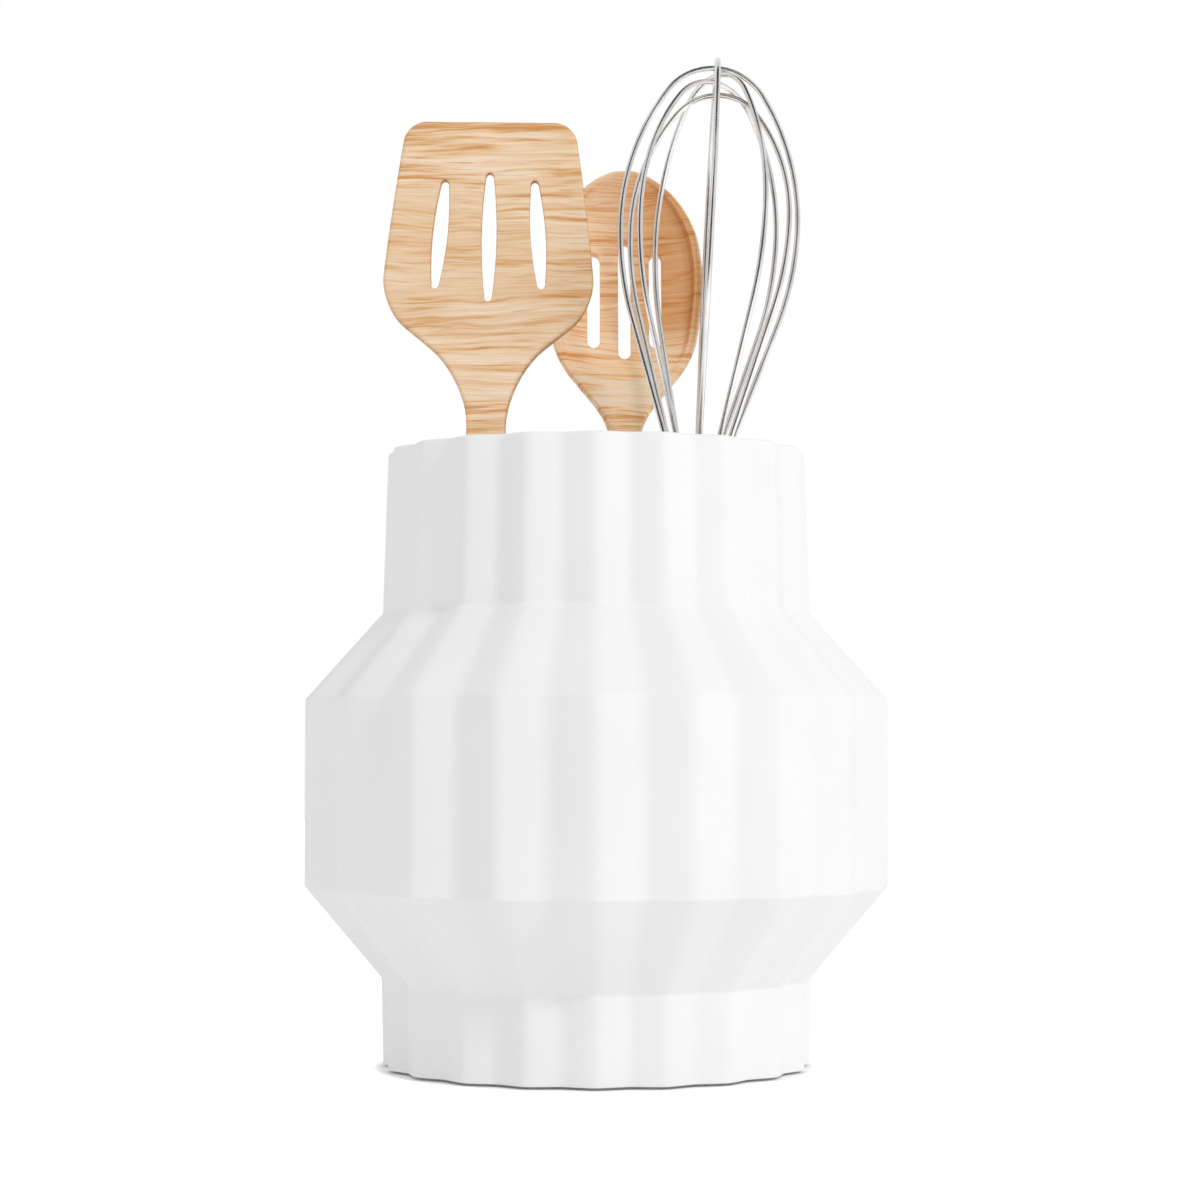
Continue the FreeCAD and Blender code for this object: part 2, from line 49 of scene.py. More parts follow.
# Outlines as (radius, height) points: up the outside, down the inside, and from the recess out to the foot.
CROCK_OUTSIDE = [
    (0.0655, 0.0008), (0.0661, 0.027), (0.09, 0.0551), (0.09, 0.1124), (0.0661, 0.1391), (0.0646, 0.1876)]
CROCK_INSIDE = [
    (0.0606, 0.1876), (0.06215, 0.1375), (0.086, 0.1109), (0.086, 0.0566), (0.0621, 0.0285), (0.0616, 0.006)]
CROCK_RECESS = [(0.02, 0.002), (0.05508, 0.002), (0.05508, 0)]
CROCK_FOOT = [(0.0615, 0), (0.0615, 0.0008)]
CROCK_FLOOR_MIDDLE = (0.02, 0.006)
LIP_ROUND = 0.0014
LIP_STEPS = 4
CREASE_ROUND = 0.0006
FOOT_EDGE_ROUND = 0.0003
OUTSIDE_STEPS = 3
INSIDE_ROUND = 0.0025
INSIDE_STEPS = 4
PLAIN_MIDDLE = 0.021
RECESS_REACH = 0.0562
RECESS_TOP = 0.0025
SMOOTH_ANGLE = radians(35)
NEAR = 1e-5
GLAZE_TONES = [(0.3, (0.878, 0.876, 0.873, 1)), (0.7, (0.908, 0.907, 0.905, 1))]
GLAZE_CLOUDS = (26, 26, 26)
GLAZE_GRIT = (900, 900, 900)
GLAZE_SMOOTH, GLAZE_ROUGH = 0.5, 0.62


def begin():
    """Clears the selection, so that the next piece is the only one that the operators act on."""
    if bpy.context.object and bpy.context.object.mode != "OBJECT":
        bpy.ops.object.mode_set(mode="OBJECT")
    bpy.ops.object.select_all(action="DESELECT")


def pick(piece, keep):
    """Selects the points of a piece whose place keep() is true for, and goes on in edit mode."""
    bpy.ops.object.mode_set(mode="OBJECT")
    mesh = piece.data
    mesh.polygons.foreach_set("select", [False] * len(mesh.polygons))
    mesh.edges.foreach_set("select", [False] * len(mesh.edges))
    mesh.vertices.foreach_set("select", [bool(keep(v.co)) for v in mesh.vertices])
    bpy.ops.object.mode_set(mode="EDIT")


def draw_rings(path):
    """Draws the selected ring on along (radius, height) points; the ring is at the first of them."""
    for (radius, height), (next_radius, next_height) in zip(path, path[1:]):
        bpy.ops.mesh.extrude_edges_move(TRANSFORM_OT_translate={"value": (0, 0, next_height - height)})
        share = next_radius / radius
        bpy.ops.transform.resize(value=(share, share, 1), center_override=(0, 0, next_height))


def on_ring(point, radius, height):
    """Whether a point lies on a level ring."""
    return abs(hypot(point.x, point.y) - radius) < NEAR and abs(point.z - height) < NEAR


def smooth_off(piece):
    """Turns the faces outwards and shades the piece smooth, with the flat faces kept flat."""
    bpy.ops.mesh.select_all(action="SELECT")
    bpy.ops.mesh.normals_make_consistent(inside=False)
    bpy.ops.object.mode_set(mode="OBJECT")
    bpy.ops.object.shade_smooth_by_angle(angle=SMOOTH_ANGLE)
    bpy.ops.object.modifier_add(type="WEIGHTED_NORMAL")
    piece.modifiers[-1].keep_sharp = True
    bpy.ops.object.modifier_apply(modifier=piece.modifiers[-1].name)


lip_out, lip_in = CROCK_OUTSIDE[-1], CROCK_INSIDE[0]
lip = []
for step in range(1, LIP_STEPS + 1):
    turn = step / LIP_STEPS * pi / 2
    lip.append((lip_out[0] - LIP_ROUND * (1 - cos(turn)), lip_out[1] + LIP_ROUND * sin(turn)))
for step in range(LIP_STEPS):
    turn = (1 - step / LIP_STEPS) * pi / 2
    lip.append((lip_in[0] + LIP_ROUND * (1 - cos(turn)), lip_in[1] + LIP_ROUND * sin(turn)))

begin()
bpy.ops.mesh.primitive_circle_add(vertices=FLUTES * FLUTE_POINTS, radius=CROCK_RECESS[0][0])
crock = bpy.context.object
crock.name = "crock_shell"
bpy.ops.object.mode_set(mode="EDIT")
bpy.ops.mesh.select_mode(type="VERT")
bpy.ops.mesh.select_all(action="SELECT")
bpy.ops.transform.translate(value=(0, 0, CROCK_RECESS[0][1]))
draw_rings(CROCK_RECESS + CROCK_FOOT + CROCK_OUTSIDE + lip + CROCK_INSIDE + [CROCK_FLOOR_MIDDLE])
for middle in (CROCK_RECESS[0], CROCK_FLOOR_MIDDLE):
    pick(crock, lambda p: on_ring(p, *middle))
    bpy.ops.mesh.edge_face_add()
for ring in CROCK_OUTSIDE[1:-1] + [CROCK_RECESS[-1]]:
    pick(crock, lambda p: on_ring(p, *ring))
    bpy.ops.mesh.bevel(offset=CREASE_ROUND, segments=OUTSIDE_STEPS, affect="EDGES")
pick(crock, lambda p: on_ring(p, *CROCK_OUTSIDE[0]))
bpy.ops.mesh.bevel(offset=FOOT_EDGE_ROUND, segments=OUTSIDE_STEPS, affect="EDGES")
for ring in CROCK_INSIDE[1:]:
    pick(crock, lambda p: on_ring(p, *ring))
    bpy.ops.mesh.bevel(offset=INSIDE_ROUND, segments=INSIDE_STEPS, affect="EDGES")


def flute_step(point):
    """How many points round from the nearest crest a point is; none for the recess and the floor's middle."""
    out = hypot(point.x, point.y)
    if out < PLAIN_MIDDLE or (point.z < RECESS_TOP and out < RECESS_REACH):
        return None
    step = round(atan2(point.x, point.y) / (2 * pi) * FLUTES * FLUTE_POINTS) % FLUTE_POINTS
    return min(step, FLUTE_POINTS - step)


def flute_fall(way):
    """How far in the wall lies between a crest, 0, and a valley, 1: flat flanks, rounded at both ends."""
    if way > 0.5:
        return 1 - flute_fall(1 - way)
    bend = min(way, FLUTE_ROUND_SHARE)
    return (way - bend + bend ** 2 / (2 * FLUTE_ROUND_SHARE)) / (1 - FLUTE_ROUND_SHARE)


for step in range(1, FLUTE_POINTS // 2 + 1):
    share = 1 - FLUTE_DEPTH_SHARE * flute_fall(2 * step / FLUTE_POINTS)
    pick(crock, lambda p: flute_step(p) == step)
    bpy.ops.transform.resize(value=(share, share, 1), center_override=(0, 0, 0))
smooth_off(crock)


def new_material(name):
    """An empty node material: gives the material, its nodes, its links and its Principled shader."""
    material = bpy.data.materials.new(name)
    material.use_nodes = True
    tree = material.node_tree
    return material, tree.nodes, tree.links, tree.nodes["Principled BSDF"]


def noise(nodes, links, vector, stretch, detail):
    """A noise pattern stretched to so many grains a metre along X, Y and Z."""
    scaled = nodes.new("ShaderNodeVectorMath")
    scaled.operation = "MULTIPLY"
    scaled.inputs[1].default_value = stretch
    grain = nodes.new("ShaderNodeTexNoise")
    grain.inputs["Scale"].default_value = 1
    grain.inputs["Detail"].default_value = detail
    links.new(vector, scaled.inputs[0])
    links.new(scaled.outputs["Vector"], grain.inputs["Vector"])
    return grain.outputs["Fac"]


def sums(nodes, links, operation, first, second, third=None):
    """One Math node; each value is a socket or a number."""
    made = nodes.new("ShaderNodeMath")
    made.operation = operation
    for socket, value in zip(made.inputs, (first, second, third)):
        if isinstance(value, (int, float)):
            socket.default_value = value
        elif value is not None:
            links.new(value, socket)
    return made.outputs["Value"]


def ramp(nodes, links, value, stops):
    """Colours set along a value."""
    made = nodes.new("ShaderNodeValToRGB")
    while len(made.color_ramp.elements) < len(stops):
        made.color_ramp.elements.new(0.5)
    for element, (position, colour) in zip(made.color_ramp.elements, stops):
        element.position, element.color = position, colour
    links.new(value, made.inputs["Fac"])
    return made.outputs["Color"]


def bump(nodes, links, shader, height, strength, distance):
    """Raises the surface a little by a pattern of heights."""
    relief = nodes.new("ShaderNodeBump")
    relief.inputs["Strength"].default_value = strength
    relief.inputs["Distance"].default_value = distance
    links.new(height, relief.inputs["Height"])
    links.new(relief.outputs["Normal"], shader.inputs["Normal"])


ceramic, nodes, links, shader = new_material("matt_white_ceramic")
place = nodes.new("ShaderNodeTexCoord").outputs["Object"]
clouds = noise(nodes, links, place, GLAZE_CLOUDS, 4)
grit = noise(nodes, links, place, GLAZE_GRIT, 2)
dulled = sums(nodes, links, "MULTIPLY_ADD", grit, GLAZE_ROUGH - GLAZE_SMOOTH, GLAZE_SMOOTH)
links.new(ramp(nodes, links, clouds, GLAZE_TONES), shader.inputs["Base Color"])
links.new(dulled, shader.inputs["Roughness"])
bump(nodes, links, shader, grit, 0.06, 0.0004)
shader.inputs["Specular IOR Level"].default_value = 0.4
crock.data.materials.append(ceramic)
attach(crock, "crock")
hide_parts("crock_body")

# The spatula: one flat board of pale beech, sawn to a narrow handle and a wide blade with a straight end.
# The blade is planed thinner towards its end, three slots are cut through it, and all edges are sanded round.
# It stands loose in the crock and leans on the rim.
SPATULA_FOOT = Vector((-0.037792, 0.020833, 0.006704))
SPATULA_CORNERS = [(0.0063, 0), (0.0063, 0.2112), (0.0353, 0.235), (0.0319, 0.268), (0.02755, 0.2974)]
SPATULA_ROUNDS = [0.004, 0.0155, 0.0105, 0.018, 0.0066]
SPATULA_ROUND_STEPS = 10
# Up the board: height, and the share of the wood's depth that is left there.
SPATULA_DEPTHS = [(0.19, 1), (0.226, 0.58), (0.2974, 0.4)]
WOOD_DEPTH = 0.008
WOOD_EDGE_ROUND = 0.0013
WOOD_EDGE_STEPS = 4
SHARP_EDGE = radians(50)
SLOT_EDGE_ROUND = 0.0005
SLOT_EDGE_STEPS = 3
SLOT_POINTS = 32
SLOT_CUT_DEPTH = 10 * WOOD_DEPTH
# Each slot: x and y of its middle, length, and splay in degrees.
SPATULA_SLOTS = [(0, 0.2584, 0.0432, 0), (-0.016, 0.2592, 0.0366, -4.6), (0.016, 0.2592, 0.0366, 4.2)]
SPATULA_SLOT_WIDTH = 0.005
SPATULA_SLOT_END = 0.0027
SLOT_END_STRETCH = 1.3
SLOT_SWELL = [0, 0.2, 0.4, 0.6, 0.75, 0.88, 0.96]
SLOT_WELD = 1e-5
HEIGHT_DIGITS = 6
SAME_HEIGHT = 2e-6
# Where the painted light on the spatula's handle fades out, up the board.
HANDLE_LIGHT_FULL_TO = 0.2
HANDLE_LIGHT_NONE_FROM = 0.234
SPATULA_GRAIN_TURN = radians(4.9)
SPATULA_GRAIN_SHIFT = (0, 0, 0)
SPATULA_GAIN = (1, 1.01, 1.02)


def saw_board(name, corners, rounds):
    """Saws a flat board in XY: (half width, height) corners up one side, mirrored, each rounded."""
    begin()
    bpy.ops.mesh.primitive_plane_add(size=1)
    board = bpy.context.object
    board.name = name
    bpy.ops.object.mode_set(mode="EDIT")
    bpy.ops.mesh.select_all(action="SELECT")
    (half, low), (_, high) = corners[:2]
    bpy.ops.transform.resize(value=(2 * half, high - low, 1), center_override=(0, 0, 0))
    bpy.ops.transform.translate(value=(0, (low + high) / 2, 0))
    for (half, low), (next_half, high) in zip(corners[1:], corners[2:]):
        pick(board, lambda p: p.y > low - NEAR)
        bpy.ops.mesh.extrude_edges_move(TRANSFORM_OT_translate={"value": (0, high - low, 0)})
        bpy.ops.transform.resize(value=(next_half / half, 1, 1), center_override=(0, high, 0))
    bpy.ops.mesh.select_all(action="SELECT")
    bpy.ops.mesh.dissolve_faces()
    for (half, high), amount in zip(corners, rounds):
        pick(board, lambda p: abs(abs(p.x) - half) < NEAR and abs(p.y - high) < NEAR)
        bpy.ops.mesh.bevel(offset=amount, segments=SPATULA_ROUND_STEPS, affect="VERTICES")
    bpy.ops.mesh.select_all(action="SELECT")
    bpy.ops.mesh.extrude_region_move(TRANSFORM_OT_translate={"value": (0, 0, -WOOD_DEPTH)})
    bpy.ops.mesh.select_all(action="SELECT")
    bpy.ops.transform.translate(value=(0, 0, WOOD_DEPTH / 2))
    bpy.ops.mesh.normals_make_consistent(inside=False)
    return board


def saw_across(heights):
    """Divides the board at these heights, so that it can bend there."""
    for height in heights:
        bpy.ops.mesh.select_all(action="SELECT")
        bpy.ops.mesh.bisect(plane_co=(0, height, 0), plane_no=(0, 1, 0))


def between(stations, height):
    """The value at a height on a line through (height, value) stations."""
    if height <= stations[0][0]:
        return stations[0][1]
    for (low, first), (high, second) in zip(stations, stations[1:]):
        if height <= high:
            return first + (second - first) * (height - low) / (high - low)
    return stations[-1][1]


def round_edges(amount, steps):
    """Sands the sharp edges of the piece round."""
    bpy.ops.mesh.select_mode(type="EDGE")
    bpy.ops.mesh.select_all(action="DESELECT")
    bpy.ops.mesh.edges_select_sharp(sharpness=SHARP_EDGE)
    bpy.ops.mesh.bevel(offset=amount, segments=steps, affect="EDGES")
    bpy.ops.mesh.select_mode(type="VERT")


def cut_slot(board, x, y, length, width, end_width, splay):
    """Cuts a slot through the board: round ends of their own width, swelling to full width in the middle."""
    begin()
    bpy.ops.mesh.primitive_cylinder_add(vertices=SLOT_POINTS, radius=end_width / 2, depth=SLOT_CUT_DEPTH)
    cutter = bpy.context.object
    straight = (length - SLOT_END_STRETCH * end_width) / 2
    bpy.ops.object.mode_set(mode="EDIT")
    bpy.ops.mesh.select_all(action="SELECT")
    bpy.ops.transform.resize(value=(1, SLOT_END_STRETCH, 1), center_override=(0, 0, 0))
    for side in (1, -1):
        pick(cutter, lambda p: p.y * side > NEAR)
        bpy.ops.transform.translate(value=(0, side * straight, 0))
    heights = sorted({side * share * straight for share in SLOT_SWELL for side in (1, -1)})
    saw_across(heights)
    for height in heights:
        swell = end_width + (width - end_width) * (1 - (height / straight) ** 2)
        pick(cutter, lambda p: abs(p.y - height) < NEAR)
        bpy.ops.transform.resize(value=(swell / end_width, 1, 1), center_override=(0, 0, 0))
    bpy.ops.object.mode_set(mode="OBJECT")
    cutter.matrix_world = Matrix.Translation((x, y, 0)) @ Matrix.Rotation(radians(splay), 4, "Z")
    begin()
    board.select_set(True)
    bpy.context.view_layer.objects.active = board
    bpy.ops.object.modifier_add(type="BOOLEAN")
    board.modifiers[-1].object = cutter
    board.modifiers[-1].operation = "DIFFERENCE"
    board.modifiers[-1].solver = "EXACT"
    bpy.ops.object.modifier_apply(modifier=board.modifiers[-1].name)
    bpy.data.objects.remove(cutter)
    bpy.ops.object.mode_set(mode="EDIT")
    bpy.ops.mesh.select_all(action="SELECT")
    bpy.ops.mesh.remove_doubles(threshold=SLOT_WELD)


def stand_in_crock(piece, foot, joint, drawn_flat):
    """Stands a piece on its foot, leaning along the line that its joint lifts it on."""
    bpy.ops.object.mode_set(mode="OBJECT")
    axis = Vector(next(j for j in frame["joints"] if j["name"] == joint)["axis"]).normalized()
    lean = Matrix.Rotation(-atan2(axis.y, axis.z), 4, "X") @ Matrix.Rotation(asin(axis.x), 4, "Y")
    upright = Matrix.Rotation(pi / 2, 4, "X") if drawn_flat else Matrix.Identity(4)
    piece.matrix_world = Matrix.Translation(foot) @ lean @ upright
    bpy.ops.object.transform_apply(location=True, rotation=True, scale=True)


def shade(*rgb):
    """A colour given as it looks on a screen, 0 to 255, as the light values that a shader takes."""
    return tuple(((c / 255 + 0.055) / 1.055) ** 2.4 for c in rgb) + (1,)


def blend(nodes, links, way, share, first, second):
    """Blends two colours; each of the three values is a socket, a number or a colour."""
    made = nodes.new("ShaderNodeMix")
    made.data_type = "RGBA"
    made.blend_type = way
    for number, value in ((0, share), (6, first), (7, second)):
        if isinstance(value, (int, float, tuple)):
            made.inputs[number].default_value = value
        else:
            links.new(value, made.inputs[number])
    return made.outputs[2]


# The figure of the beech, shared by both wooden pieces: wavy streaks across the board, in broad pale and
# dark bands, with fine lines between them and short dark flecks. Grains are counted per metre on X, Y and Z.
WANDER_GRAINS, WANDER_LIFT = (22, 22, 50), 0.008
BAND_GRAINS, BAND_SHARE = (9, 9, 62), 0.28
STRENGTH_GRAINS, STRENGTH_SPREAD, STRENGTH_LOW = (12, 12, 75), 2, -0.45
STREAK_GRAINS = (32, 32, 680)
LINE_GRAINS, LINE_SHARE, LINE_LOW = (70, 70, 1700), 0.32, 0.2
FLECK_GRAINS, FLECK_FROM, FLECK_FULL, FLECK_SHARE = (60, 60, 1300), 0.62, 0.74, 0.7
FLECK_TONE = shade(206, 144, 86)
BEECH_TONES = [
    (0.36, shade(210, 150, 92)), (0.425, shade(225, 176, 125)), (0.49, shade(236, 200, 160)),
    (0.56, shade(241, 210, 176)), (0.65, shade(246, 222, 194))]
BEECH_ROUGH, STREAK_SHINE = 0.68, -0.25
LINE_HEIGHT = 0.5
beech = bpy.data.node_groups.new("beech_figure", "ShaderNodeTree")
beech.interface.new_socket("Vector", in_out="INPUT", socket_type="NodeSocketVector")
beech.interface.new_socket("Color", in_out="OUTPUT", socket_type="NodeSocketColor")
beech.interface.new_socket("Roughness", in_out="OUTPUT", socket_type="NodeSocketFloat")
beech.interface.new_socket("Height", in_out="OUTPUT", socket_type="NodeSocketFloat")
nodes, links = beech.nodes, beech.links
place = nodes.new("NodeGroupInput").outputs["Vector"]
result = nodes.new("NodeGroupOutput")
wander = noise(nodes, links, place, WANDER_GRAINS, 2)
lift = nodes.new("ShaderNodeCombineXYZ")
links.new(sums(nodes, links, "MULTIPLY_ADD", wander, WANDER_LIFT, -WANDER_LIFT / 2), lift.inputs["Z"])
waved = nodes.new("ShaderNodeVectorMath")
links.new(place, waved.inputs[0])
links.new(lift.outputs["Vector"], waved.inputs[1])
waved = waved.outputs["Vector"]
bands = noise(nodes, links, waved, BAND_GRAINS, 2)
patches = noise(nodes, links, place, STRENGTH_GRAINS, 1)
strength = sums(nodes, links, "MULTIPLY_ADD", patches, STRENGTH_SPREAD, STRENGTH_LOW)
streaks = noise(nodes, links, waved, STREAK_GRAINS, 3)
lines = noise(nodes, links, waved, LINE_GRAINS, 2)
flecks = noise(nodes, links, waved, FLECK_GRAINS, 2)
streak_depth = sums(nodes, links, "MULTIPLY", sums(nodes, links, "SUBTRACT", streaks, 0.5), strength)
line_depth = sums(nodes, links, "MULTIPLY_ADD", lines, LINE_SHARE, LINE_LOW)
band_depth = sums(nodes, links, "MULTIPLY_ADD", bands, BAND_SHARE, streak_depth)
tone = ramp(nodes, links, sums(nodes, links, "ADD", line_depth, band_depth), BEECH_TONES)
stroke = nodes.new("ShaderNodeMapRange")
stroke.inputs["From Min"].default_value = FLECK_FROM
stroke.inputs["From Max"].default_value = FLECK_FULL
stroke.inputs["To Max"].default_value = FLECK_SHARE
links.new(flecks, stroke.inputs["Value"])
links.new(blend(nodes, links, "MIX", stroke.outputs["Result"], tone, FLECK_TONE), result.inputs["Color"])
links.new(sums(nodes, links, "MULTIPLY_ADD", streaks, STREAK_SHINE, BEECH_ROUGH), result.inputs["Roughness"])
links.new(sums(nodes, links, "MULTIPLY_ADD", lines, LINE_HEIGHT, streaks), result.inputs["Height"])

# Painted light and shade on the beech, as colours that its figure is multiplied by: shade where edges turn away and
# on the right of the spoon's bowl, light on the spatula's handle.
EDGE_SHADE_TONE = shade(220, 184, 142)
BOWL_SHADE_TONE = shade(226, 198, 164)
HANDLE_LIGHT_GAIN = (1.17, 1.24, 1.32, 1)
PALEST_BEECH = (1, 0.82, 0.65, 1)


def marked(nodes, name):
    """The value that mark() keeps for each point under a name."""
    attribute = nodes.new("ShaderNodeAttribute")
    attribute.attribute_name = name
    return attribute.outputs["Fac"]


def oiled_beech(piece, turn, shift, gain):
    """Lightly oiled beech, with painted shade where its edges turn away from the front and on the right of the
    spoon's bowl, and painted light on the spatula's handle.
    """
    wood, nodes, links, shader = new_material("oiled_beech_" + piece.name)
    coords = nodes.new("ShaderNodeTexCoord")
    along = nodes.new("ShaderNodeMapping")
    along.inputs["Rotation"].default_value = (turn, 0, 0)
    along.inputs["Location"].default_value = shift
    figure = nodes.new("ShaderNodeGroup")
    figure.node_tree = beech
    links.new(coords.outputs["Object"], along.inputs["Vector"])
    links.new(along.outputs["Vector"], figure.inputs["Vector"])
    colour = blend(nodes, links, "MULTIPLY", 1, figure.outputs["Color"], (*gain, 1))
    # Painted shade on edges and on the bowl, and painted light on the handle, multiplied into the colour.
    for name, tone in (("edge_painted_shade", EDGE_SHADE_TONE), ("bowl_painted_shade", BOWL_SHADE_TONE), ("handle_painted_light", HANDLE_LIGHT_GAIN)):
        colour = blend(nodes, links, "MULTIPLY", marked(nodes, name), colour, tone)
    links.new(blend(nodes, links, "DARKEN", 1, colour, PALEST_BEECH), shader.inputs["Base Color"])
    links.new(figure.outputs["Roughness"], shader.inputs["Roughness"])
    bump(nodes, links, shader, figure.outputs["Height"], 0.25, 0.0003)
    shader.inputs["Specular IOR Level"].default_value = 0.3
    piece.data.materials.append(wood)


def mark(piece, name, share):
    """Keeps a value for each point of the piece while it lies flat, for its material to read."""
    values = [share(v) for v in piece.data.vertices]
    piece.data.attributes.new(name, "FLOAT", "POINT").data.foreach_set("value", values)


def turned_away(point):
    """How far a point's surface turns away from the front and the back of the board."""
    return 1 - min(1, 1.25 * abs(point.normal.z))


def share_of(value, low, high):
    """How far a value has come from low to high, between 0 and 1."""
    return min(1, max(0, (value - low) / (high - low)))


def handle_painted_light(point):
    """How much painted light the spatula gets: all of it on the handle, none on the head."""
    return 1 - share_of(point.co.y, HANDLE_LIGHT_FULL_TO, HANDLE_LIGHT_NONE_FROM)


spatula = saw_board("spatula", SPATULA_CORNERS, SPATULA_ROUNDS)
saw_across([height for height, _ in SPATULA_DEPTHS[:-1]])
bpy.ops.object.mode_set(mode="OBJECT")
for height in sorted({round(v.co.y, HEIGHT_DIGITS) for v in spatula.data.vertices}):
    pick(spatula, lambda p: abs(p.y - height) < SAME_HEIGHT)
    bpy.ops.transform.resize(value=(1, 1, between(SPATULA_DEPTHS, height)), center_override=(0, 0, 0))
round_edges(WOOD_EDGE_ROUND, WOOD_EDGE_STEPS)
for x, y, length, splay in SPATULA_SLOTS:
    cut_slot(spatula, x, y, length, SPATULA_SLOT_WIDTH, SPATULA_SLOT_END, splay)
round_edges(SLOT_EDGE_ROUND, SLOT_EDGE_STEPS)
smooth_off(spatula)
# Painted shade: the colour darkens on the edges and slot walls that turn away from the front.
mark(spatula, "edge_painted_shade", turned_away)
# Painted light: the handle is made paler in the colour, against the shade that falls on it near the rim.
mark(spatula, "handle_painted_light", handle_painted_light)
stand_in_crock(spatula, SPATULA_FOOT, "spatula_lift", True)
oiled_beech(spatula, SPATULA_GRAIN_TURN, SPATULA_GRAIN_SHIFT, SPATULA_GAIN)
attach(spatula, "spatula")
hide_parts("wooden_spatula")

# The spoon: one piece of the same beech, a square handle that widens into an egg-shaped head.
# The head is gouged out on its front inside a narrow rim, rounded behind, and three slots go through it.
# It stands loose in the crock beside the spatula and leans on the rim.
SPOON_FOOT = Vector((0.009556, 0.007538, 0.007262))
SPOON_FRONT = 0.004
SPOON_BLANK_DEPTH = 0.03
SPOON_EDGE = 0.001
SPOON_RIM = 0.0029
SPOON_WALL = 0.0011
SPOON_WALL_SHARE = 0.42
SPOON_SUPPORT = 0.0004
SPOON_HOLLOW_LOW = 0.2215
# From the middle to the edge, the share of the hollow's depth at each place across.
SPOON_GOUGE = [1, 0.87, 1.15 * SPOON_WALL_SHARE, SPOON_WALL_SHARE, 0, 0, 0, 0]
# Each slot: x and y of its middle, and length.
SPOON_SLOTS = [(0, 0.2477, 0.044), (-0.01035, 0.2477, 0.0354), (0.01035, 0.2477, 0.0354)]
SPOON_SLOT_WIDTH = 0.0042
SPOON_GRAIN_TURN = radians(13.9)
SPOON_GRAIN_SHIFT = (0.11, 0.2, 0.9)
# Painted light: the spoon's colour is brightened against the whisk's shadow and the shade among the pieces.
SPOON_PAINTED_LIGHT_GAIN = (1.2, 1.23, 1.27)
SPOON_OUTER_EDGE_SHADE_SHARE = 0.45
# Where the painted shade on the spoon's bowl lies: across, in from the edge, and up.
BOWL_SHADE_ACROSS = (-0.008, 0.011)
BOWL_SHADE_FROM_EDGE = (0.0005, 0.0011)
BOWL_SHADE_UP = (SPOON_HOLLOW_LOW, SPOON_HOLLOW_LOW + 0.02)
GRID_AWAY = 10
GRID_NEAR = 1e-4
# Up the spoon, in millimetres: height, half width, depth at the edge, depth in the middle, hollow.
SPOON_ROWS = [
    (-0.4, 5.25, 8, 8, 0), (0.8, 5.25, 8, 8, 0), (60, 5.25, 8, 8, 0), (120, 5.25, 8, 8, 0),
    (170, 5.25, 8, 8, 0), (188, 5, 8, 8, 0), (194.2, 4.9, 8, 8, 0), (200.2, 5.3, 7.6, 8.2, 0),
    (206.2, 7.4, 6.8, 8.4, 0), (212.5, 12.3, 5.8, 8.8, 0), (219.5, 18.3, 4.8, 9.5, 0),
    (222.5, 20.4, 4.3, 9.9, 1.4), (228.2, 23.4, 3.7, 10.7, 3.8), (234, 24.6, 3.4, 11.2, 5.3),
    (240, 25.3, 3.2, 11.4, 6.4), (247, 26.1, 3.2, 11.5, 6.9), (254.2, 26.5, 3.2, 11.5, 7),
    (261, 26.0, 3.2, 11.3, 6.8), (268, 25, 3.2, 10.8, 6.4), (274.2, 22.9, 3.2, 10, 5.6),
    (280, 19.9, 3.2, 9, 4.4), (284.5, 16.5, 3.2, 7.9, 3.1), (288, 12.8, 3.2, 6.7, 1.9),
    (290.8, 9, 3.2, 5.4, 0.8), (292.5, 5.3, 3.2, 4.2, 0), (293.3, 2.2, 3.2, 3.4, 0)]


def spoon_columns(half):
    """The places across the spoon, from its middle to its edge, that its points lie at."""
    rim, edge = min(SPOON_RIM, 0.4 * half), min(SPOON_EDGE, 0.2 * half)
    floor_half = half - rim - min(SPOON_WALL, 0.15 * half)
    support = min(SPOON_SUPPORT, 0.05 * half)
    return [0, 0.5 * floor_half, floor_half - 2 * support, floor_half,
            half - rim, half - rim + support, half - edge, half]


def from_edge(point):
    """How far a point of the spoon lies in from the side edge at its height."""
    return between([(row[0] / 1000, row[1] / 1000) for row in SPOON_ROWS], point.co.y) - abs(point.co.x)


def spoon_edge_shade(point):
    """Painted shade where the surface turns away from the front: full on the gouge's wall, less on the outer edges.
    """
    inside = point.normal.z > 0 and from_edge(point) > 0.8 * SPOON_RIM and point.co.y > SPOON_HOLLOW_LOW
    return turned_away(point) * (1 if inside else SPOON_OUTER_EDGE_SHADE_SHARE)


def bowl_right_shade(point):
    """Painted shade on the right half of the head's front, up to its outer edge."""
    if point.normal.z < 0:
        return 0
    across = share_of(point.co.x, *BOWL_SHADE_ACROSS) * share_of(from_edge(point), *BOWL_SHADE_FROM_EDGE)
    return across * share_of(point.co.y, *BOWL_SHADE_UP)


begin()
columns = 2 * len(spoon_columns(SPOON_RIM)) - 1
bpy.ops.mesh.primitive_grid_add(x_subdivisions=columns - 1, y_subdivisions=len(SPOON_ROWS) - 1, size=2)
spoon = bpy.context.object
spoon.name = "spoon"
bpy.ops.object.mode_set(mode="EDIT")
bpy.ops.mesh.select_all(action="SELECT")
